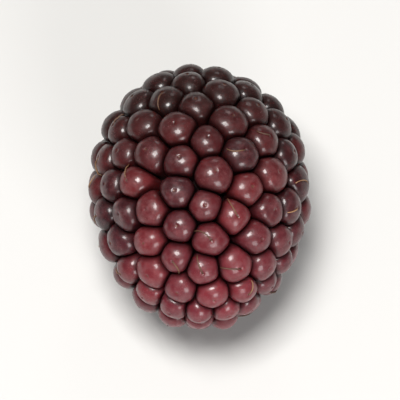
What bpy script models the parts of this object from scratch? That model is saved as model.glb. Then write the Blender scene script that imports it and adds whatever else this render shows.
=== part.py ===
"""A picked bramble berry, lying on its side.

Small juicy drupelets crowd over the whole berry, fused to each other and to the flesh under them, so
they are one solid. The pale end of the receptacle that they grow on is a piece of its own, in a socket at
the stem end with a hair's gap round it. The origin is on the surface under the middle of the berry. The
stem end faces -Y, the tip +Y, and +Z is up.
"""

import math

import bmesh
import bpy
import numpy as np
from mathutils import Matrix, Vector, geometry

# The berry's outer form over the drupelets, in metres
BERRY_WIDTH = 0.0220
BERRY_LENGTH = 0.0272
BERRY_HEIGHT = 0.0212
TIP_TAPER = 0.08

# The drupelets, and the rule that places them
DRUPELET_COUNT = 142
DRUPELET_SPACING = 0.00360
SMALLER_AT_TIP = 0.16
SMALLER_AT_STEM = 0.05
SIZE_SPREAD = 0.07
HEIGHT_SPREAD = 0.00016
PLACE_SPREAD = 0.10
SPACING_ROUNDS = 140
PUSH_SHARE = 0.3
SEED = 6

# One drupelet: how deep the creases and pits round it lie, and the rings of its dome
CREASE_DEPTH = 0.00120
PIT_DEPTH = 0.00175
DOME_RINGS = (0.88, 0.56)
RING_ROUNDNESS = (0.40, 0.9)
DOME_FULLNESS = 2.3
SHARP_ANGLE = math.radians(55)

# The receptacle's end and the socket it fills at the stem end
SCAR_WIDTH = 0.0050
SOCKET_DEPTH = 0.0039
SOCKET_TAPER = 0.92
SCAR_SUNK = 0.0021
SCAR_BEVEL = 0.0003
SCAR_HOLLOW = 0.00035
SCAR_HOLLOW_SHARE = 0.42
SCAR_RIM_SHARE = 0.80
FIT_GAP = 0.0003

# How much of the lowest drupelets is pressed flat where the berry lies on them
FLAT_DEPTH = 0.00021
FACES_DOWN = -0.9
CUT_TOLERANCE = 1e-7

# The two surfaces: colour, roughness and gloss coat
DRUPELET_SKIN = ("dark_red_skin", (0.075, 0.012, 0.018), 0.30, 0.4)
RECEPTACLE_FLESH = ("pale_receptacle", (0.62, 0.30, 0.20), 0.60, 0.0)

GOLDEN_ANGLE = math.pi * (3 - math.sqrt(5))
STEM_POLE = 0


def clear_scene():
    for obj in list(bpy.data.objects):
        bpy.data.objects.remove(obj, do_unlink=True)


def surface_material(name, color, roughness, coat):
    material = bpy.data.materials.new(name)
    material.use_nodes = True
    shader = material.node_tree.nodes["Principled BSDF"]
    shader.inputs["Base Color"].default_value = (*color, 1)
    shader.inputs["Roughness"].default_value = roughness
    shader.inputs["Metallic"].default_value = 0
    shader.inputs["Coat Weight"].default_value = coat
    return material


def berry_form(directions):
    """Points of the outer form in these directions: a sphere drawn out, and slimmer towards the tip."""
    girth = 1 - TIP_TAPER * directions[:, 1:2]
    half = np.array([BERRY_WIDTH, BERRY_LENGTH, BERRY_HEIGHT]) / 2
    return directions * half * np.hstack([girth, np.ones_like(girth), girth])


def form_directions(points):
    """The directions in which points on the outer form, or near it, lie."""
    half = np.array([BERRY_WIDTH, BERRY_LENGTH, BERRY_HEIGHT]) / 2
    girth = 1 - TIP_TAPER * points[:, 1:2] / half[1]
    directions = points / half / np.hstack([girth, np.ones_like(girth), girth])
    return directions / np.linalg.norm(directions, axis=1, keepdims=True)


def form_normals(directions):
    """The outward normals of the outer form in these directions."""
    half = np.array([BERRY_WIDTH, BERRY_LENGTH, BERRY_HEIGHT]) / 2
    girth = 1 - TIP_TAPER * directions[:, 1]
    across = directions[:, 0] ** 2 + directions[:, 2] ** 2
    normals = directions / half
    normals[:, 0] /= girth
    normals[:, 2] /= girth
    normals[:, 1] += TIP_TAPER * across / (half[1] * girth)
    return normals / np.linalg.norm(normals, axis=1, keepdims=True)


def lay_out_drupelets():
    """Directions and sizes of the scar, which comes first, and of the drupelets from there to the tip.

    They start on a golden-angle spiral, are shifted a little at random, and then push apart until they
    crowd evenly.
    """
    draw = np.random.default_rng(SEED)
    turn = np.arange(1, DRUPELET_COUNT + 1)
    along = -1 + 2 * (turn + 0.5) / (DRUPELET_COUNT + 1)
    around = turn * GOLDEN_ANGLE
    across = np.sqrt(1 - along**2)
    spiral = np.column_stack([across * np.cos(around), along, across * np.sin(around)])
    spiral += draw.uniform(-PLACE_SPREAD, PLACE_SPREAD, spiral.shape)
    directions = np.vstack([[0, -1, 0], spiral])
    directions /= np.linalg.norm(directions, axis=1, keepdims=True)

    sizes = 1 + SIZE_SPREAD * draw.uniform(-1, 1, len(directions))
    sizes -= np.where(directions[:, 1] > 0, SMALLER_AT_TIP, SMALLER_AT_STEM) * directions[:, 1] ** 2
    sizes[STEM_POLE] = SCAR_WIDTH / DRUPELET_SPACING
    reach = (sizes[:, None] + sizes[None, :]) / 2 * DRUPELET_SPACING

    for _ in range(SPACING_ROUNDS):
        points = berry_form(directions)
        apart = points[:, None] - points[None, :]
        distance = np.linalg.norm(apart, axis=2)
        np.fill_diagonal(distance, 1)
        press = np.clip(reach - distance, 0, None)
        np.fill_diagonal(press, 0)
        points += PUSH_SHARE * (apart / distance[:, :, None] * press[:, :, None]).sum(axis=1)
        directions = form_directions(points)
        directions[STEM_POLE] = (0, -1, 0)
    return directions, sizes


def hull_triangles(points, even=False):
    """The hull round these points, as triangles of their numbers, with its edges turned if "even" is set."""
    bm = bmesh.new()
    corners = [bm.verts.new(point) for point in points]
    index = {corner: number for number, corner in enumerate(corners)}
    bmesh.ops.convex_hull(bm, input=corners)
    if even:
        bmesh.ops.beautify_fill(bm, faces=bm.faces, edges=bm.edges, method="ANGLE")
    triangles = [[index[corner] for corner in face.verts] for face in bm.faces]
    bm.free()
    return triangles


def rings_of_neighbours(points, normals):
    """For each point, the points that it shares a hull edge with, in order round it."""
    neighbours = [set() for _ in points]
    for triangle in hull_triangles(points, even=True):
        for corner in triangle:
            neighbours[corner].update(set(triangle) - {corner})
    rings = []
    for number, around in enumerate(neighbours):
        out = Vector(normals[number])
        side = out.orthogonal().normalized()
        other = out.cross(side)
        angles = {}
        for near in around:
            away = Vector(points[near] - points[number])
            angles[near] = math.atan2(away.dot(other), away.dot(side))
        rings.append(sorted(around, key=angles.get))
    return rings


def balance_point(triangles, middle):
    """The centre of mass of the solid inside these triangles, weighed as slivers round the middle point."""
    total = 0
    moment = Vector()
    for a, b, c in triangles:
        weight = abs((b - middle).cross(c - middle).dot(a - middle))
        moment += (a + b + c + middle) / 4 * weight
        total += weight
    return moment / total


def settle(tops):
    """The turn and the drop that lay the berry on the three low drupelets under its weight."""
    triangles = [[Vector(tops[corner]) for corner in triangle] for triangle in hull_triangles(tops)]
    balance = balance_point(triangles, Vector(tops.mean(axis=0)))
    stands = []
    for triangle in triangles:
        down = geometry.normal(triangle)
        if down.dot(triangle[0] - balance) < 0:
            down.negate()
        height = down.dot(triangle[0] - balance)
        foot = balance + down * height
        if down.z < FACES_DOWN and geometry.intersect_point_tri(foot, *triangle):
            stands.append((height, down))
    height, down = min(stands, key=lambda stand: stand[0])
    turn = down.rotation_difference(Vector((0, 0, -1))).to_matrix()
    drop = height - FLAT_DEPTH - (turn @ balance).z
    return np.array(turn), np.array([0, 0, drop])


def mean_normal(normals, members):
    total = normals[list(members)].sum(axis=0)
    return total / np.linalg.norm(total)


def crease_places(tops, normals, sizes, rings):
    """The low points round each drupelet: a crease towards each neighbour, and a pit where three meet."""
    creases = {}
    for number, around in enumerate(rings):
        for near in around:
            pair = frozenset((number, near))
            share = sizes[number] / (sizes[number] + sizes[near])
            middle = tops[number] + (tops[near] - tops[number]) * share
            if pair not in creases:
                creases[pair] = middle - mean_normal(normals, pair) * CREASE_DEPTH
    pits = {}
    for number, around in enumerate(rings):
        for near, after in zip(around, around[1:] + around[:1]):
            three = frozenset((number, near, after))
            if three not in pits:
                sides = [creases[three - {corner}] for corner in three]
                deeper = mean_normal(normals, three) * (PIT_DEPTH - CREASE_DEPTH)
                pits[three] = sum(sides) / 3 - deeper
    return creases, pits


def loop_round(number, rings, creases, pits):
    """The places of the creases and pits round one drupelet, in order, with their keys."""
    around = rings[number]
    loop = []
    for near, after in zip(around, around[1:] + around[:1]):
        pair = frozenset((number, near))
        three = frozenset((number, near, after))
        loop += [(pair, creases[pair]), (three, pits[three])]
    return loop


def dome_ring(top, normal, border, share, roundness):
    """One ring of a drupelet's dome between its top and its border of creases, drawn towards a circle."""
    down = (top - border) @ normal
    out = border - top + down[:, None] * normal
    width = np.linalg.norm(out, axis=1, keepdims=True)
    round_width = width + (width.mean() - width) * roundness
    fall = down * (1 - (1 - share**DOME_FULLNESS) ** (1 / DOME_FULLNESS))
    return top + out / width * round_width * share - fall[:, None] * normal


def join_rings(bm, outer, inner):
    for here, after in zip(range(len(outer)), [*range(1, len(outer)), 0]):
        bm.faces.new((outer[here], outer[after], inner[after], inner[here]))


def close_ring(bm, ring, top):
    peak = bm.verts.new(top)
    for here, after in zip(ring, ring[1:] + ring[:1]):
        bm.faces.new((here, after, peak))


def narrowed(border, middle, normal, shift, share=1.0):
    """The ring drawn in by a width and a share, level across the normal through the middle point."""
    out = border - middle
    out -= (out @ normal)[:, None] * normal
    width = np.linalg.norm(out, axis=1, keepdims=True)
    return middle + out * (share - shift / width)


def finish_solid(bm, name, material):
    bmesh.ops.recalc_face_normals(bm, faces=bm.faces)
    bmesh.ops.triangulate(bm, faces=bm.faces)
    mesh = bpy.data.meshes.new(name)
    bm.to_mesh(mesh)
    bm.free()
    mesh.materials.append(material)
    mesh.shade_smooth()
    mesh.set_sharp_from_angle(angle=SHARP_ANGLE)
    solid = bpy.data.objects.new(name, mesh)
    bpy.context.collection.objects.link(solid)
    return solid


def press_flat(bm):
    """Cuts the lowest drupelets off level with the surface, and closes each cut with a flat face."""
    pieces = bm.verts[:] + bm.edges[:] + bm.faces[:]
    cut = {"plane_co": (0, 0, 0), "plane_no": (0, 0, -1), "clear_outer": True, "dist": CUT_TOLERANCE}
    bmesh.ops.bisect_plane(bm, geom=pieces, **cut)
    rim = [edge for edge in bm.edges if edge.is_boundary]
    for edge in rim:
        for corner in edge.verts:
            corner.co.z = 0
    bmesh.ops.holes_fill(bm, edges=rim)


def make_drupelets(tops, normals, rings, creases, pits):
    """All the drupelets and the flesh between them, with the socket for the receptacle's end."""
    bm = bmesh.new()
    low = {key: bm.verts.new(place) for key, place in {**creases, **pits}.items()}
    for number, (top, normal) in enumerate(zip(tops, normals)):
        loop = loop_round(number, rings, creases, pits)
        border = np.array([place for _, place in loop])
        outer = [low[key] for key, _ in loop]
        if number == STEM_POLE:
            floor = narrowed(border, top - normal * SOCKET_DEPTH, normal, 0, SOCKET_TAPER)
            inner = [bm.verts.new(place) for place in floor]
            join_rings(bm, outer, inner)
            close_ring(bm, inner, top - normal * SOCKET_DEPTH)
            continue
        for share, roundness in zip(DOME_RINGS, RING_ROUNDNESS):
            ring = dome_ring(top, normal, border, share, roundness)
            inner = [bm.verts.new(place) for place in ring]
            join_rings(bm, outer, inner)
            outer = inner
        close_ring(bm, outer, top)
    press_flat(bm)
    return finish_solid(bm, "drupelets", surface_material(*DRUPELET_SKIN))


def make_receptacle(top, normal, border):
    """The receptacle's pale end: it follows the drupelets round it, and is hollow where the stem sat."""
    levels = (
        (SOCKET_DEPTH - FIT_GAP, 1, FIT_GAP),
        (SCAR_SUNK + SCAR_BEVEL, 1, FIT_GAP),
        (SCAR_SUNK, SCAR_RIM_SHARE, FIT_GAP),
        (SCAR_SUNK + SCAR_HOLLOW, SCAR_HOLLOW_SHARE, 0),
    )
    bm = bmesh.new()
    rings = []
    for depth, share, gap in levels:
        ring = narrowed(border, top - normal * depth, normal, gap, SOCKET_TAPER * share)
        rings.append([bm.verts.new(place) for place in ring])
    bm.faces.new(rings[0])
    for outer, inner in zip(rings, rings[1:]):
        join_rings(bm, outer, inner)
    bm.faces.new(rings[-1])
    return finish_solid(bm, "receptacle", surface_material(*RECEPTACLE_FLESH))


def place_drupelets():
    """Tops of the scar and the drupelets as the berry lies, with their normals, sizes and neighbours."""
    directions, sizes = lay_out_drupelets()
    normals = form_normals(directions)
    rings = rings_of_neighbours(berry_form(directions), normals)
    heights = HEIGHT_SPREAD * np.random.default_rng(SEED).uniform(-1, 1, len(sizes))
    tops = berry_form(directions) + normals * heights[:, None]

    turn, drop = settle(tops[STEM_POLE + 1:])
    return tops @ turn.T + drop, normals @ turn.T, sizes, rings


def stand_over_origin(solids):
    """Shifts the solids along the surface until the origin is under the middle of the first one's box."""
    corners = np.array([corner.co for corner in solids[0].data.vertices])
    middle = (corners.min(axis=0) + corners.max(axis=0)) / 2
    for solid in solids:
        solid.data.transform(Matrix.Translation((-middle[0], -middle[1], 0)))


def build():
    clear_scene()
    tops, normals, sizes, rings = place_drupelets()
    creases, pits = crease_places(tops, normals, sizes, rings)
    drupelets = make_drupelets(tops, normals, rings, creases, pits)
    border = np.array([place for _, place in loop_round(STEM_POLE, rings, creases, pits)])
    receptacle = make_receptacle(tops[STEM_POLE], normals[STEM_POLE], border)
    stand_over_origin([drupelets, receptacle])


build()
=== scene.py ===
import math

import bmesh
import bpy
import numpy as np
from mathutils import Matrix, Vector, geometry, noise


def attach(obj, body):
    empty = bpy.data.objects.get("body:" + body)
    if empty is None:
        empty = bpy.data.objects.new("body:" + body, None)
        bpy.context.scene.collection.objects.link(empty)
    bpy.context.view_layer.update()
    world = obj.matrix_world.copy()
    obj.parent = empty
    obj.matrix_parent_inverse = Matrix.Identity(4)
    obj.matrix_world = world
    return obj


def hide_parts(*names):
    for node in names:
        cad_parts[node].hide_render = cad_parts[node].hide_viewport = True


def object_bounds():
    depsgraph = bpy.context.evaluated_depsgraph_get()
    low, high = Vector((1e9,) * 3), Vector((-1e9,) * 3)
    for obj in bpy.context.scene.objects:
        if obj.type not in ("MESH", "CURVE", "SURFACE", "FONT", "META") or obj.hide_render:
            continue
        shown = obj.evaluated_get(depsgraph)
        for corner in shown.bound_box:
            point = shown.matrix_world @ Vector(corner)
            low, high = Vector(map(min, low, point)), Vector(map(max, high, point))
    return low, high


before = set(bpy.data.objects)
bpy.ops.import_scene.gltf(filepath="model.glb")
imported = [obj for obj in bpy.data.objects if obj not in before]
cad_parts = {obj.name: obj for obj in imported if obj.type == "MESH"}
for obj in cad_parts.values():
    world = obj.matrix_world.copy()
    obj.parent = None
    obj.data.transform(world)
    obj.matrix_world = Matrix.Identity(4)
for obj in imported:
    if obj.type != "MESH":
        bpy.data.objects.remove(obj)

cad_low, cad_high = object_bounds()

# Camera, table and light
# The photograph looks steeply down on the berry from its slimmer end, the tip, a little from the left. The
# table is plain and pale. A soft lamp hangs over the berry, and weaker ones stand behind and in front of it.
CAMERA_ELEVATION = math.radians(65)
CAMERA_AZIMUTH = math.radians(177)
CAMERA_DISTANCE = 0.60
CAMERA_NEAREST = 0.01
SENSOR_WIDTH_MM = 36
BERRY_SHARE_OF_FRAME = 0.68
TABLE_SIZE = 1.1
TABLE_COLOR = (0.55, 0.55, 0.54)
TABLE_ROUGHNESS = 0.8

bpy.ops.object.select_all(action="DESELECT")
bpy.ops.mesh.primitive_plane_add(size=TABLE_SIZE, location=(0, 0, 0))
table = bpy.context.active_object
table.name = "table"
table_paint = bpy.data.materials.new("pale_table")
table_paint.use_nodes = True
paint_shader = table_paint.node_tree.nodes["Principled BSDF"]
paint_shader.inputs["Base Color"].default_value = (*TABLE_COLOR, 1)
paint_shader.inputs["Roughness"].default_value = TABLE_ROUGHNESS
table.data.materials.append(table_paint)

view_back = Vector((
    math.sin(CAMERA_AZIMUTH) * math.cos(CAMERA_ELEVATION),
    -math.cos(CAMERA_AZIMUTH) * math.cos(CAMERA_ELEVATION),
    math.sin(CAMERA_ELEVATION),
))
berry_middle = (cad_low + cad_high) / 2
frame_width = (cad_high.y - cad_low.y) / BERRY_SHARE_OF_FRAME
bpy.ops.object.camera_add(location=berry_middle + view_back * CAMERA_DISTANCE)
camera = bpy.context.active_object
camera.rotation_euler = view_back.to_track_quat("Z", "Y").to_euler()
camera.data.sensor_width = SENSOR_WIDTH_MM
camera.data.lens = SENSOR_WIDTH_MM * CAMERA_DISTANCE / frame_width
camera.data.clip_start = CAMERA_NEAREST
bpy.context.scene.camera = camera


def hang_lamp(name, place, size, power, color):
    """A square soft lamp that faces the berry."""
    bpy.ops.object.light_add(type="AREA", location=place)
    lamp = bpy.context.active_object
    lamp.name = name
    lamp.data.size = size
    lamp.data.energy = power
    lamp.data.color = color
    lamp.rotation_euler = (Vector(place) - berry_middle).to_track_quat("Z", "Y").to_euler()


hang_lamp("main_lamp", place=(0.07, 0.05, 0.56), size=0.22, power=4.7, color=(1.0, 0.98, 0.96))
hang_lamp("rim_lamp", place=(-0.10, -0.46, 0.26), size=0.14, power=0.20, color=(1.0, 0.99, 0.98))
hang_lamp("fill_lamp", place=(-0.16, 0.46, 0.22), size=0.24, power=1.9, color=(1.0, 0.98, 0.98))

# Past the table's edge a low view sees the studio's walls. They look pale, but little light comes from them.
WALL_COLOR = (0.96, 0.98, 1.0)
WALL_LIGHT = 0.10
WALL_SEEN = 0.85

world = bpy.data.worlds.new("studio")
world.use_nodes = True
walls = world.node_tree.nodes["Background"]
walls.inputs["Color"].default_value = (*WALL_COLOR, 1)
light_path = world.node_tree.nodes.new("ShaderNodeLightPath")
wall_power = world.node_tree.nodes.new("ShaderNodeMapRange")
wall_power.inputs["To Min"].default_value = WALL_LIGHT
wall_power.inputs["To Max"].default_value = WALL_SEEN
world.node_tree.links.new(light_path.outputs["Is Camera Ray"], wall_power.inputs["Value"])
world.node_tree.links.new(wall_power.outputs["Result"], walls.inputs["Strength"])
bpy.context.scene.world = world
bpy.context.scene.view_settings.view_transform = "Standard"

# The drupelets
# Small juicy fruits with thin glossy skins crowd round the receptacle. They grow in a spiral from the stem
# end to the tip, swell until they press each other flat, and the lowest are flat where the berry lies.
BERRY_HALF = np.array([0.0220, 0.0272, 0.0212]) / 2
TIP_TAPER = 0.08
GOLDEN_ANGLE = math.pi * (3 - math.sqrt(5))
DRUPELET_COUNT = 142
DRUPELET_SPACING = 0.00360
SMALLER_AT_TIP = 0.16
SMALLER_AT_STEM = 0.05
SIZE_SPREAD = 0.07
HEIGHT_SPREAD = 0.00016
PLACE_SPREAD = 0.10
SPACING_ROUNDS = 140
PUSH_SHARE = 0.3
GROWTH_SEED = 6
SCAR_WIDTH = 0.0050
SCAR = 0


def berry_form(directions):
    """Points of the outer form in these directions: a sphere drawn out, and slimmer towards the tip."""
    girth = 1 - TIP_TAPER * directions[:, 1:2]
    return directions * BERRY_HALF * np.hstack([girth, np.ones_like(girth), girth])


def form_directions(points):
    """The directions in which points on the outer form, or near it, lie."""
    girth = 1 - TIP_TAPER * points[:, 1:2] / BERRY_HALF[1]
    directions = points / BERRY_HALF / np.hstack([girth, np.ones_like(girth), girth])
    return directions / np.linalg.norm(directions, axis=1, keepdims=True)


def form_normals(directions):
    """The outward normals of the outer form in these directions."""
    girth = 1 - TIP_TAPER * directions[:, 1]
    across = directions[:, 0] ** 2 + directions[:, 2] ** 2
    normals = directions / BERRY_HALF
    normals[:, 0] /= girth
    normals[:, 2] /= girth
    normals[:, 1] += TIP_TAPER * across / (BERRY_HALF[1] * girth)
    return normals / np.linalg.norm(normals, axis=1, keepdims=True)


# They start on a golden-angle spiral, shifted a little at random, and push apart until they crowd evenly.
# The first place is the scar that the stem left, which stays at the pole.
growth = np.random.default_rng(GROWTH_SEED)
turn = np.arange(1, DRUPELET_COUNT + 1)
along = -1 + 2 * (turn + 0.5) / (DRUPELET_COUNT + 1)
across = np.sqrt(1 - along**2)
spiral = np.column_stack([across * np.cos(turn * GOLDEN_ANGLE), along, across * np.sin(turn * GOLDEN_ANGLE)])
spiral += growth.uniform(-PLACE_SPREAD, PLACE_SPREAD, spiral.shape)
directions = np.vstack([[0, -1, 0], spiral])
directions /= np.linalg.norm(directions, axis=1, keepdims=True)
sizes = 1 + SIZE_SPREAD * growth.uniform(-1, 1, len(directions))
sizes -= np.where(directions[:, 1] > 0, SMALLER_AT_TIP, SMALLER_AT_STEM) * directions[:, 1] ** 2
sizes[SCAR] = SCAR_WIDTH / DRUPELET_SPACING
reach = (sizes[:, None] + sizes[None, :]) / 2 * DRUPELET_SPACING
for _ in range(SPACING_ROUNDS):
    points = berry_form(directions)
    apart = points[:, None] - points[None, :]
    distance = np.linalg.norm(apart, axis=2)
    np.fill_diagonal(distance, 1)
    press = np.clip(reach - distance, 0, None)
    np.fill_diagonal(press, 0)
    points += PUSH_SHARE * (apart / distance[:, :, None] * press[:, :, None]).sum(axis=1)
    directions = form_directions(points)
    directions[SCAR] = (0, -1, 0)
normals = form_normals(directions)
heights = HEIGHT_SPREAD * np.random.default_rng(GROWTH_SEED).uniform(-1, 1, len(sizes))
tops = berry_form(directions) + normals * heights[:, None]

# The berry lies on the low drupelets under its weight. Its balance point is weighed in slivers of the hull
# round the tops, and it rolls onto the side that is nearest under that point.
FLAT_DEPTH = 0.00021
FACES_DOWN = -0.9

hull = bmesh.new()
for top in tops[SCAR + 1:]:
    hull.verts.new(top)
bmesh.ops.convex_hull(hull, input=hull.verts)
hull_sides = [[corner.co.copy() for corner in side.verts] for side in hull.faces]
hull.free()
inside = Vector(tops[SCAR + 1:].mean(axis=0))
slivers = [abs((b - inside).cross(c - inside).dot(a - inside)) for a, b, c in hull_sides]
moments = [(a + b + c + inside) / 4 * sliver for (a, b, c), sliver in zip(hull_sides, slivers)]
balance = sum(moments, Vector()) / sum(slivers)
stands = []
for side in hull_sides:
    down = geometry.normal(side)
    if down.dot(side[0] - balance) < 0:
        down.negate()
    height = down.dot(side[0] - balance)
    if down.z < FACES_DOWN and geometry.intersect_point_tri(balance + down * height, *side):
        stands.append((height, down))
height, down = min(stands, key=lambda stand: stand[0])
lay_down = down.rotation_difference(Vector((0, 0, -1))).to_matrix()
lift = height - FLAT_DEPTH - (lay_down @ balance).z
laid = np.array(lay_down).T
tops = tops @ laid + (0, 0, lift)
normals = normals @ laid

# One drupelet is shaped from a ball: the lower half is drawn down to a root, and the crown has the small pit
# that its style grew from, sunk in rings that each have a width and a depth. The ball's radius is 1.
DRUPELET_SEGMENTS = 28
DRUPELET_RINGS = 18
ROOT_LENGTH = 2.1
ROOT_TIP_FROM = 0.7
ROOT_NARROWING = 0.55
CROWN_LOW = 0.97
PIT_RINGS = ((0.055, -0.004), (0.045, -0.020), (0.040, -0.032))
ON_LEVEL = 0.01  # a corner that is nearer than this to a level lies on it


def pick(piece, wanted):
    """In edit mode, selects the corners of a piece whose place passes the test, and nothing else."""
    shape = bmesh.from_edit_mesh(piece.data)
    shape.select_mode = {"VERT"}
    for corner in shape.verts:
        corner.select_set(wanted(corner.co))
    shape.select_flush_mode()
    bmesh.update_edit_mesh(piece.data)


bpy.ops.object.select_all(action="DESELECT")
bpy.ops.mesh.primitive_uv_sphere_add(
    segments=DRUPELET_SEGMENTS, ring_count=DRUPELET_RINGS, radius=1, location=(0, 0, 0),
)
drupelet = bpy.context.active_object
bpy.ops.object.mode_set(mode="EDIT")
bpy.ops.mesh.select_mode(type="VERT")
pick(drupelet, lambda place: place.z < -ON_LEVEL)
bpy.ops.transform.resize(value=(1, 1, ROOT_LENGTH), center_override=(0, 0, 0))
pick(drupelet, lambda place: place.z < -ROOT_TIP_FROM * ROOT_LENGTH)
bpy.ops.transform.resize(value=(ROOT_NARROWING, ROOT_NARROWING, 1), center_override=(0, 0, 0))
pick(drupelet, lambda place: place.z > CROWN_LOW)
for width, rise in PIT_RINGS:
    bpy.ops.mesh.inset(thickness=width, depth=rise)
bpy.ops.object.mode_set(mode="OBJECT")

# Each copy swells on every side to its room there, though it hardly reaches into corners, and is pressed
# flat along the walls between it and its neighbours. The skin is a little uneven, and a few have sunk in.
NEIGHBOUR_REACH = 1.8
ROOM_FOCUS = 3.0
ROOM_NEARNESS = 4
CORNER_REACH = 1.03
SWELLING = 1.06
DRUPELET_RISE = 0.00185
PRESS_SHARPNESS = 9.5
LEAST_TOWARDS = 0.001
SKIN_WAVES = ((0.00010, 0.0030), (0.00003, 0.0010))
SUNKEN_SHARE = 0.10
SUNKEN_DEPTH = 0.00032
SUNKEN_WIDTH = 0.0009
CROWN_LEVEL = 0.0007
STYLE_SPOT = 0.12
FAINTEST_SPOT = 0.4
WALL_NEARNESS = (0.74, 0.98)
SCAR_OPENING = 0.0019
RIPENESS_MIDDLE = 0.5
RIPENESS_PATCH = 0.006
RIPENESS_SPREAD = 0.30
RIPENING_SEED = 11


def level_axes(normal):
    """Two level directions across a normal."""
    side = np.array(Vector(normal).orthogonal().normalized())
    return side, np.cross(normal, side)


def neighbours_of(number):
    """The drupelets that crowd round one of them, and the scar where it is near."""
    gap = np.linalg.norm(tops - tops[number], axis=1)
    crowded = NEIGHBOUR_REACH * DRUPELET_SPACING * (sizes[number] + sizes) / 2
    return np.flatnonzero((gap > 0) & (gap < crowded))


def room_towards(number, bearings):
    """How far it is from one top to the creases round it, in these directions."""
    side, other = level_axes(normals[number])
    near = neighbours_of(number)
    away = tops[near] - tops[number]
    room = np.linalg.norm(away, axis=1) * sizes[number] / (sizes[number] + sizes[near])
    lies = np.arctan2(away @ other, away @ side)
    pull = np.exp(ROOM_FOCUS * (np.cos(bearings[:, None] - lies) - 1)) / room**ROOM_NEARNESS
    return (pull * room).sum(axis=1) / pull.sum(axis=1)


def grow(number, pattern):
    """The pattern's corners as one drupelet in its place, and how near each lies to a neighbour's wall.

    It is swollen to its room, and pressed by its neighbours.
    """
    side, other = level_axes(normals[number])
    width = room_towards(number, np.arctan2(pattern[:, 1], pattern[:, 0]))
    width = np.minimum(width, width.mean() * CORNER_REACH) * SWELLING
    corners = (pattern[:, :1] * side + pattern[:, 1:2] * other) * width[:, None]
    corners += pattern[:, 2:] * normals[number] * DRUPELET_RISE
    length = np.linalg.norm(corners, axis=1)
    centres = tops - normals * DRUPELET_RISE
    near = neighbours_of(number)
    apart = centres[near] - centres[number]
    gap = np.linalg.norm(apart, axis=1)
    wall = np.where(near == SCAR, gap - SCAR_OPENING, gap * sizes[number] / (sizes[number] + sizes[near]))
    towards = np.clip((corners / length[:, None]) @ (apart / gap[:, None]).T, LEAST_TOWARDS, None)
    limit = wall / towards
    pressed = (length**-PRESS_SHARPNESS + (limit**-PRESS_SHARPNESS).sum(axis=1)) ** (-1 / PRESS_SHARPNESS)
    nearest = limit[:, near != SCAR].min(axis=1)
    nearness = (pressed / nearest - WALL_NEARNESS[0]) / (WALL_NEARNESS[1] - WALL_NEARNESS[0])
    return centres[number] + corners * (pressed / length)[:, None], np.clip(nearness, 0, 1)


def roughen(corners, normal, waves):
    """Moves the corners in and out along a normal by waves of noise, each with a height and a width."""
    for height, width in waves:
        swell = [noise.noise(Vector(corner) / width) for corner in corners]
        corners = corners + np.outer(swell, normal) * height
    return corners


ripening = np.random.default_rng(RIPENING_SEED)
pattern = np.array([corner.co for corner in drupelet.data.vertices])
from_crown = np.where(pattern[:, 2] > 0, np.hypot(pattern[:, 0], pattern[:, 1]), 1)
pit_middle = from_crown.argmin()
pits = {}
bodies = []
marks = []
for number in range(SCAR + 1, len(tops)):
    corners, crease = grow(number, pattern)
    corners = roughen(corners, normals[number], SKIN_WAVES)
    sunk_at = tops[number] + ripening.normal(0, SUNKEN_WIDTH / 2, 3)
    if ripening.uniform() < SUNKEN_SHARE:
        fade = np.exp(-((np.linalg.norm(corners - sunk_at, axis=1) / SUNKEN_WIDTH) ** 2))
        corners = corners - np.outer(fade, normals[number]) * SUNKEN_DEPTH
    crown = np.clip(1 - (tops[number] - corners) @ normals[number] / CROWN_LEVEL, 0, 1)
    patch = noise.noise(Vector(tops[number]) / RIPENESS_PATCH)
    ripeness = RIPENESS_MIDDLE + patch + ripening.uniform(-RIPENESS_SPREAD, RIPENESS_SPREAD)
    ripeness = np.full(len(corners), np.clip(ripeness, 0, 1))
    style_scar = np.clip(1 - from_crown / STYLE_SPOT, 0, 1) * ripening.uniform(FAINTEST_SPOT, 1)
    gloss = np.ones(len(corners))
    corners[:, 2] = np.clip(corners[:, 2], 0, None)
    pits[number] = (tops[number] - corners[pit_middle]) @ normals[number]
    bodies.append(corners)
    marks.append({
        "crown": crown, "crease": crease, "ripeness": ripeness, "style_scar": style_scar, "gloss": gloss,
    })

# The berry's middle stands over the origin.
every = np.vstack(bodies)
aside = (every.min(axis=0) + every.max(axis=0)) / 2 * (1, 1, 0)
tops = tops - aside


def copy_of(pattern_piece, corners, marks):
    """A copy of a pattern with its own mesh, its corners at these places and its marks as attributes."""
    mesh = pattern_piece.data.copy()
    mesh.vertices.foreach_set("co", corners.ravel())
    for name, values in marks.items():
        mesh.attributes.new(name, "FLOAT", "POINT").data.foreach_set("value", values)
    piece = bpy.data.objects.new(pattern_piece.name, mesh)
    bpy.context.scene.collection.objects.link(piece)
    return piece


def join_as(name, pieces):
    """Joins pieces into one, which gets this name and is shaded smooth."""
    bpy.ops.object.select_all(action="DESELECT")
    for piece in pieces:
        piece.select_set(True)
    bpy.context.view_layer.objects.active = pieces[0]
    bpy.ops.object.join()
    pieces[0].name = name
    bpy.ops.object.shade_smooth()
    return pieces[0]


skins = [copy_of(drupelet, corners - aside, mark) for corners, mark in zip(bodies, marks)]
bpy.data.objects.remove(drupelet)

# Under them lies the matt flesh that their roots have grown together in, which closes the creases. It is
# painted near black all over with the creases' painted shade.
FLESH_DEPTH = 0.0034
FLESH_SEGMENTS = 40
FLESH_RINGS = 24

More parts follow.
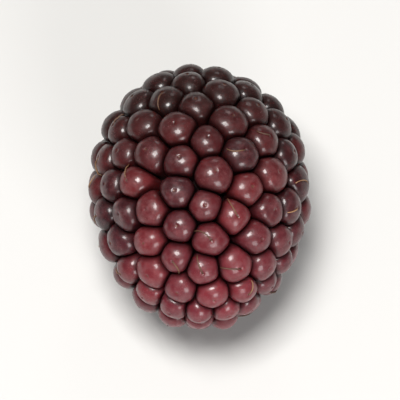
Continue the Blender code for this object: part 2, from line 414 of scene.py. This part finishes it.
bpy.ops.object.select_all(action="DESELECT")
bpy.ops.mesh.primitive_uv_sphere_add(
    segments=FLESH_SEGMENTS, ring_count=FLESH_RINGS, radius=1, location=(0, 0, 0),
)
flesh = bpy.context.active_object
ball = np.array([corner.co for corner in flesh.data.vertices])
flesh_corners = (berry_form(ball) - form_normals(ball) * FLESH_DEPTH) @ laid + (0, 0, lift) - aside
none = np.zeros(len(ball))
full = np.ones(len(ball))
# The flesh takes the full painted crease shade, so the deep corners between drupelets stay dark.
flesh_marks = {"crown": none, "crease": full, "ripeness": full, "style_scar": none, "gloss": none}
skins.append(copy_of(flesh, flesh_corners, flesh_marks))
bpy.data.objects.remove(flesh)
drupelets = join_as("drupelet_skins", skins)

# Uneven patches show on every surface of the berry: bloom and frost on the skins, and stains on the scar.
# They are cut from a cloudy noise: below one height there is none of the patch, and above another all of it.
PATCH_DETAIL = 4
PATCH_ROUGHNESS = 0.6

patches = bpy.data.node_groups.new("uneven_patches", "ShaderNodeTree")
for socket, value in (("Scale", 500), ("From", 0.45), ("To", 0.65)):
    made = patches.interface.new_socket(socket, in_out="INPUT", socket_type="NodeSocketFloat")
    made.default_value = value
patches.interface.new_socket("Mask", in_out="OUTPUT", socket_type="NodeSocketFloat")
patches_in = patches.nodes.new("NodeGroupInput")
patches_out = patches.nodes.new("NodeGroupOutput")
patches_place = patches.nodes.new("ShaderNodeTexCoord")
cloud = patches.nodes.new("ShaderNodeTexNoise")
cloud.inputs["Detail"].default_value = PATCH_DETAIL
cloud.inputs["Roughness"].default_value = PATCH_ROUGHNESS
cut = patches.nodes.new("ShaderNodeMapRange")
patches.links.new(patches_place.outputs["Object"], cloud.inputs["Vector"])
patches.links.new(patches_in.outputs["Scale"], cloud.inputs["Scale"])
patches.links.new(cloud.outputs["Fac"], cut.inputs["Value"])
patches.links.new(patches_in.outputs["From"], cut.inputs["From Min"])
patches.links.new(patches_in.outputs["To"], cut.inputs["From Max"])
patches.links.new(cut.outputs["Result"], patches_out.inputs["Mask"])


class Finish:
    """A surface finish as it is mixed: each method adds one step and gives back what it puts out."""

    def __init__(self, name):
        self.material = bpy.data.materials.new(name)
        self.material.use_nodes = True
        self.tree = self.material.node_tree
        self.shader = self.tree.nodes["Principled BSDF"]

    def set(self, **values):
        """Sets even values on the shader, by socket names with _ for a space."""
        for socket, value in values.items():
            self.shader.inputs[socket.replace("_", " ")].default_value = value

    def feed(self, source, socket):
        """Links what changes over the surface to the shader."""
        self.tree.links.new(source, self.shader.inputs[socket])

    def mark(self, name):
        """A mark that the mesh carries, such as how near a point lies to a crease."""
        node = self.tree.nodes.new("ShaderNodeAttribute")
        node.attribute_name = name
        return node.outputs["Fac"]

    def place(self, axis):
        """Where a point lies along X, Y or Z, in metres."""
        coordinates = self.tree.nodes.new("ShaderNodeTexCoord")
        split = self.tree.nodes.new("ShaderNodeSeparateXYZ")
        self.tree.links.new(coordinates.outputs["Object"], split.inputs["Vector"])
        return split.outputs[axis]

    def patchy(self, scale, low, high):
        """Uneven patches, from 0 to 1: their scale, and the noise's heights where they begin and are full."""
        node = self.tree.nodes.new("ShaderNodeGroup")
        node.node_tree = patches
        node.inputs["Scale"].default_value = scale
        node.inputs["From"].default_value = low
        node.inputs["To"].default_value = high
        return node.outputs["Mask"]

    def spread(self, value, low, high, start=0.0, end=1.0):
        """Spreads a value between low and high out between start and end."""
        node = self.tree.nodes.new("ShaderNodeMapRange")
        self.tree.links.new(value, node.inputs["Value"])
        for socket, number in (("From Min", low), ("From Max", high), ("To Min", start), ("To Max", end)):
            node.inputs[socket].default_value = number
        return node.outputs["Result"]

    def both(self, one, two):
        """Two masks multiplied."""
        node = self.tree.nodes.new("ShaderNodeMath")
        node.operation = "MULTIPLY"
        self.tree.links.new(one, node.inputs[0])
        self.tree.links.new(two, node.inputs[1])
        return node.outputs["Value"]

    def tint(self, amount, under, over):
        """One colour over another where the mask says."""
        node = self.tree.nodes.new("ShaderNodeMix")
        node.data_type = "RGBA"
        self.tree.links.new(amount, node.inputs["Factor"])
        for socket, color in zip([s for s in node.inputs if s.type == "RGBA"], (under, over)):
            if isinstance(color, tuple):
                socket.default_value = (*color, 1)
            else:
                self.tree.links.new(color, socket)
        return next(socket for socket in node.outputs if socket.type == "RGBA")

    def relief(self, scale, depth, detail=3):
        """Fine noise in the surface, this deep in metres."""
        coordinates = self.tree.nodes.new("ShaderNodeTexCoord")
        grain = self.tree.nodes.new("ShaderNodeTexNoise")
        grain.inputs["Scale"].default_value = scale
        grain.inputs["Detail"].default_value = detail
        bump = self.tree.nodes.new("ShaderNodeBump")
        bump.inputs["Distance"].default_value = depth
        self.tree.links.new(coordinates.outputs["Object"], grain.inputs["Vector"])
        self.tree.links.new(grain.outputs["Fac"], bump.inputs["Height"])
        self.feed(bump.outputs["Normal"], "Normal")


# The skin goes from wine red to purple black from one drupelet to the next. It is rosier towards the tip, and
# browner and darker towards the stem end, partly its own tone and partly painted shade. It has painted shade,
# near black, in the creases, and a thin bloom of frost on its crowns.
WINE_RED = (0.098, 0.010, 0.012)
PURPLE_BLACK = (0.020, 0.003, 0.005)
ROSY = (0.186, 0.021, 0.034)
# Partly the stem end's own maroon and partly painted shade.
STEM_MAROON_AND_SHADE = (0.014, 0.0030, 0.0018)
# Painted shade for the creases between drupelets.
CREASE_PAINTED_SHADE = (0.006, 0.001, 0.001)
FROST = (0.36, 0.19, 0.20)
SCAR_BROWN = (0.10, 0.035, 0.018)
RED_PATCHES = (420, 0.5, 0.8)
TIP_HALF = (0.003, 0.013)
TIP_ROSE = 0.5
STEM_HALF = (0.002, -0.007)
STEM_BROWN_AND_SHADE = 0.92
BLOOM_PATCHES = (1500, 0.42, 0.70)
BLOOM_LOW_AND_ON_CROWN = (0.02, 0.20)
BLOOM_FADES = (0.004, -0.006)
BLOOM_LEFT_AT_STEM = 0.25
FROST_GRAINS = (7500, 0.56, 0.68)
FROST_DRIFTS = (700, 0.42, 0.66)
FROST_OFF_AND_ON_DRIFTS = (0.01, 0.25)
STYLE_SCAR_EDGE = (0.25, 0.75)
STYLE_SCAR_BROWN = 0.9
CREASE_SHADE_STRENGTH = 0.92
SMOOTH_PATCHES = (900, 0.35, 0.7)
SMOOTHNESS = (0.64, 0.50)
COAT_PATCHES = (2200, 0.40, 0.62)
COAT = (0.50, 0.22)
SKIN_UNEVENNESS = (2600, 0.00003)

skin = Finish("drupelet_skin")
color = skin.tint(skin.mark("ripeness"), WINE_RED, PURPLE_BLACK)
color = skin.tint(skin.patchy(*RED_PATCHES), color, WINE_RED)
color = skin.tint(skin.spread(skin.place("Y"), *TIP_HALF, 0, TIP_ROSE), color, ROSY)
# The stem half is tinted darker maroon: partly the stem end's browner tone, partly painted shade.
color = skin.tint(skin.spread(skin.place("Y"), *STEM_HALF, 0, STEM_BROWN_AND_SHADE), color, STEM_MAROON_AND_SHADE)
on_crowns = skin.spread(skin.mark("crown"), 0, 1, *BLOOM_LOW_AND_ON_CROWN)
bloom = skin.both(skin.patchy(*BLOOM_PATCHES), on_crowns)
# The frost bloom fades towards the stem end, which darkens that half further as painted shade.
bloom = skin.both(bloom, skin.spread(skin.place("Y"), *BLOOM_FADES, 1, BLOOM_LEFT_AT_STEM))
color = skin.tint(bloom, color, FROST)
drifts = skin.spread(skin.patchy(*FROST_DRIFTS), 0, 1, *FROST_OFF_AND_ON_DRIFTS)
color = skin.tint(skin.both(skin.patchy(*FROST_GRAINS), drifts), color, FROST)
style_scar = skin.spread(skin.mark("style_scar"), *STYLE_SCAR_EDGE, 0, STYLE_SCAR_BROWN)
color = skin.tint(style_scar, color, SCAR_BROWN)
# Painted shade: the skin is darkened to near black towards the walls between drupelets, where shade falls.
color = skin.tint(skin.spread(skin.mark("crease"), 0, 1, 0, CREASE_SHADE_STRENGTH), color, CREASE_PAINTED_SHADE)
skin.feed(color, "Base Color")
smoothness = skin.both(skin.spread(skin.patchy(*SMOOTH_PATCHES), 0, 1, *SMOOTHNESS), skin.mark("gloss"))
skin.feed(skin.spread(smoothness, 0, 1, 1, 0), "Roughness")
coat = skin.both(skin.spread(skin.patchy(*COAT_PATCHES), 0, 1, *COAT), skin.mark("gloss"))
skin.feed(coat, "Coat Weight")
skin.relief(*SKIN_UNEVENNESS)
skin.set(Specular_IOR_Level=0.26, Coat_Roughness=0.13)
skin.set(Subsurface_Weight=0.3, Subsurface_Scale=0.0012, Subsurface_Radius=(1.0, 0.12, 0.10))
drupelets.data.materials.append(skin.material)
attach(drupelets, "root")
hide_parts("drupelets")

# The receptacle's end
# The pale core that the drupelets grew on is bare where the stem came away. It is damp, fibrous flesh, torn
# rough, and it stands as a low knob in a groove, deep between the drupelets round it.
SCAR_SEGMENTS = 56
SCAR_SUNK = 0.0030
SCAR_THICKNESS = 0.0015
SCAR_SHARE = 0.86
SCAR_RINGS = (
    (0.08, -0.02), (0.10, 0.0), (0.07, 0.08), (0.06, 0.12), (0.06, 0.10), (0.08, 0.06),
    (0.10, 0.03), (0.12, 0.0), (0.12, -0.05), (0.12, -0.07),
)
SCAR_TEARS = ((0.00016, 0.0008), (0.00020, 0.0003))
TORN_ABOVE = -0.5

bpy.ops.object.select_all(action="DESELECT")
bpy.ops.mesh.primitive_cylinder_add(vertices=SCAR_SEGMENTS, radius=1, depth=1, location=(0, 0, -0.5))
bpy.ops.object.transform_apply(location=True)
receptacle = bpy.context.active_object
receptacle.name = "receptacle_end"
bpy.ops.object.mode_set(mode="EDIT")
pick(receptacle, lambda place: place.z > -ON_LEVEL)
for width, rise in SCAR_RINGS:
    bpy.ops.mesh.inset(thickness=width, depth=rise)
bpy.ops.mesh.poke()
bpy.ops.object.mode_set(mode="OBJECT")

plug = np.array([corner.co for corner in receptacle.data.vertices])
side, other = level_axes(normals[SCAR])
from_middle = np.linalg.norm(plug[:, :2], axis=1)
width = room_towards(SCAR, np.arctan2(plug[:, 1], plug[:, 0])) * SCAR_SHARE
corners = (plug[:, :1] * side + plug[:, 1:2] * other) * width[:, None]
corners += np.outer(plug[:, 2] * SCAR_THICKNESS - SCAR_SUNK, normals[SCAR]) + tops[SCAR]
torn = roughen(corners, normals[SCAR], SCAR_TEARS)
corners = np.where(plug[:, 2:] > TORN_ABOVE, torn, corners)
receptacle.data.vertices.foreach_set("co", corners.ravel())
receptacle.data.attributes.new("from_middle", "FLOAT", "POINT").data.foreach_set("value", from_middle)
receptacle = join_as("receptacle_end", [receptacle])

PALE_PEACH = (0.62, 0.30, 0.19)
PITH_CREAM = (0.72, 0.45, 0.30)
FIBRE_BROWN = (0.30, 0.12, 0.06)
JUICE_STAIN = (0.13, 0.014, 0.018)
CREAM_PATCHES = (900, 0.40, 0.62)
FIBRE_FLECKS = (3600, 0.48, 0.66)
PITH_EDGE = (0.22, 0.05)
PITH_BROWN = 0.5
STAIN_PATCHES = (1100, 0.22, 0.50)
STAIN_RING = (0.30, 0.62)
STAIN_IN_AND_OUT = (0.1, 0.9)
JUICE_RING = (0.52, 0.74)
JUICE_SETTLES = (0.0004, -0.0009)
JUICE_ON_LOW_SIDE = 0.96
DAMP_PATCHES = (1200, 0.35, 0.7)
DAMP_AND_DRY_ROUGHNESS = (0.40, 0.65)
FIBRE_RELIEF = (5200, 0.00009)

core = Finish("receptacle_flesh")
color = core.tint(core.patchy(*CREAM_PATCHES), PALE_PEACH, PITH_CREAM)
color = core.tint(core.patchy(*FIBRE_FLECKS), color, FIBRE_BROWN)
color = core.tint(core.spread(core.mark("from_middle"), *PITH_EDGE, 0, PITH_BROWN), color, FIBRE_BROWN)
stain_ring = core.spread(core.mark("from_middle"), *STAIN_RING, *STAIN_IN_AND_OUT)
color = core.tint(core.both(core.patchy(*STAIN_PATCHES), stain_ring), color, FIBRE_BROWN)
color = core.tint(core.spread(core.mark("from_middle"), *JUICE_RING), color, JUICE_STAIN)
juice_levels = [tops[SCAR][2] + level for level in JUICE_SETTLES]
color = core.tint(core.spread(core.place("Z"), *juice_levels, 0, JUICE_ON_LOW_SIDE), color, JUICE_STAIN)
core.feed(color, "Base Color")
core.feed(core.spread(core.patchy(*DAMP_PATCHES), 0, 1, *DAMP_AND_DRY_ROUGHNESS), "Roughness")
core.relief(*FIBRE_RELIEF)
core.set(Specular_IOR_Level=0.25)
core.set(Subsurface_Weight=0.25, Subsurface_Scale=0.0012, Subsurface_Radius=(1.0, 0.45, 0.3))
receptacle.data.materials.append(core.material)
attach(receptacle, "root")
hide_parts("receptacle")

# The dried styles
# Each drupelet grew from a flower part with a thread on top. The threads dry brown, many break off, and the
# rest stay rooted in the crowns and lie curled along the skin.
STYLE_SHARE = 0.38
STYLE_SIDES = 6
STYLE_STEPS = 7
STYLE_TAPER = 0.93
STYLE_THICKNESS = 0.00008
STYLE_LENGTHS = (0.0014, 0.0026)
STYLE_CURL = (0.0017, 0.0026)
STYLE_SWAY = 0.5
STYLE_ROOTED = 0.00008
ROOT_STEEPNESS = 4
FIRST_FREE_STEP = 2
STYLE_LIFT = 0.00018
STYLE_SEED = 4

bpy.ops.object.select_all(action="DESELECT")
bpy.ops.mesh.primitive_circle_add(vertices=STYLE_SIDES, radius=1, fill_type="NGON", location=(0, 0, 0))
style = bpy.context.active_object
style.name = "dried_style"
bpy.ops.object.mode_set(mode="EDIT")
bpy.ops.mesh.select_all(action="SELECT")
for step in range(STYLE_STEPS):
    bpy.ops.mesh.extrude_region_move(TRANSFORM_OT_translate={"value": (0, 0, 1)})
    bpy.ops.transform.resize(value=(STYLE_TAPER, STYLE_TAPER, 1), center_override=(0, 0, step + 1))
bpy.ops.mesh.select_all(action="SELECT")
bpy.ops.mesh.normals_make_consistent(inside=False)
bpy.ops.object.mode_set(mode="OBJECT")

drying = np.random.default_rng(STYLE_SEED)
thread = np.array([corner.co for corner in style.data.vertices])
reach_along = thread[:, 2] / STYLE_STEPS
styles = []
for number in range(SCAR + 1, len(tops)):
    length = drying.uniform(*STYLE_LENGTHS)
    curl = drying.uniform(*STYLE_CURL)
    bearing = drying.uniform(0, 2 * math.pi)
    sway = drying.uniform(-STYLE_SWAY, STYLE_SWAY)
    tone = drying.uniform()
    if drying.uniform() > STYLE_SHARE:
        continue
    side, other = level_axes(normals[number])
    lean = bearing + sway * reach_along**2
    ahead = np.outer(np.cos(lean), side) + np.outer(np.sin(lean), other)
    beside = np.cross(normals[number], ahead)
    bent = reach_along * length / curl
    sunk = (pits[number] + STYLE_ROOTED) * (1 - reach_along) ** ROOT_STEEPNESS
    out = curl + STYLE_THICKNESS * (1 + thread[:, 1]) - sunk
    corners = ahead * (out * np.sin(bent))[:, None] + np.outer(out * np.cos(bent) - curl, normals[number])
    corners += beside * (thread[:, 0] * STYLE_THICKNESS)[:, None] + tops[number]
    for step in range(FIRST_FREE_STEP, STYLE_STEPS + 1):
        ring = np.rint(thread[:, 2]) == step
        middle = Vector(corners[ring].mean(axis=0))
        _, on_skin, facing, _ = drupelets.closest_point_on_mesh(middle)
        lift = (middle - on_skin).dot(facing)
        corners[ring] += facing * (min(max(lift, STYLE_THICKNESS), STYLE_LIFT) - lift)
    if corners[:, 2].min() > 0:
        tones = {"tone": np.full(len(corners), tone), "along": reach_along}
        styles.append(copy_of(style, corners, tones))
bpy.data.objects.remove(style)
dried_styles = join_as("dried_styles", styles)

STRAW_BROWN = (0.30, 0.16, 0.075)
DARK_BROWN = (0.055, 0.022, 0.012)
DARK_HALF = (0.0, 0.5)
DARK_AT_ROOT = 0.8
DRY_PATCHES = (2000, 0.35, 0.7)
DRY_ROUGHNESS = (0.45, 0.7)

dry = Finish("dried_style")
color = dry.tint(dry.mark("tone"), STRAW_BROWN, DARK_BROWN)
color = dry.tint(dry.spread(dry.mark("along"), *DARK_HALF, DARK_AT_ROOT, 0), color, DARK_BROWN)
dry.feed(color, "Base Color")
dry.feed(dry.spread(dry.patchy(*DRY_PATCHES), 0, 1, *DRY_ROUGHNESS), "Roughness")
dried_styles.data.materials.append(dry.material)
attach(dried_styles, "root")
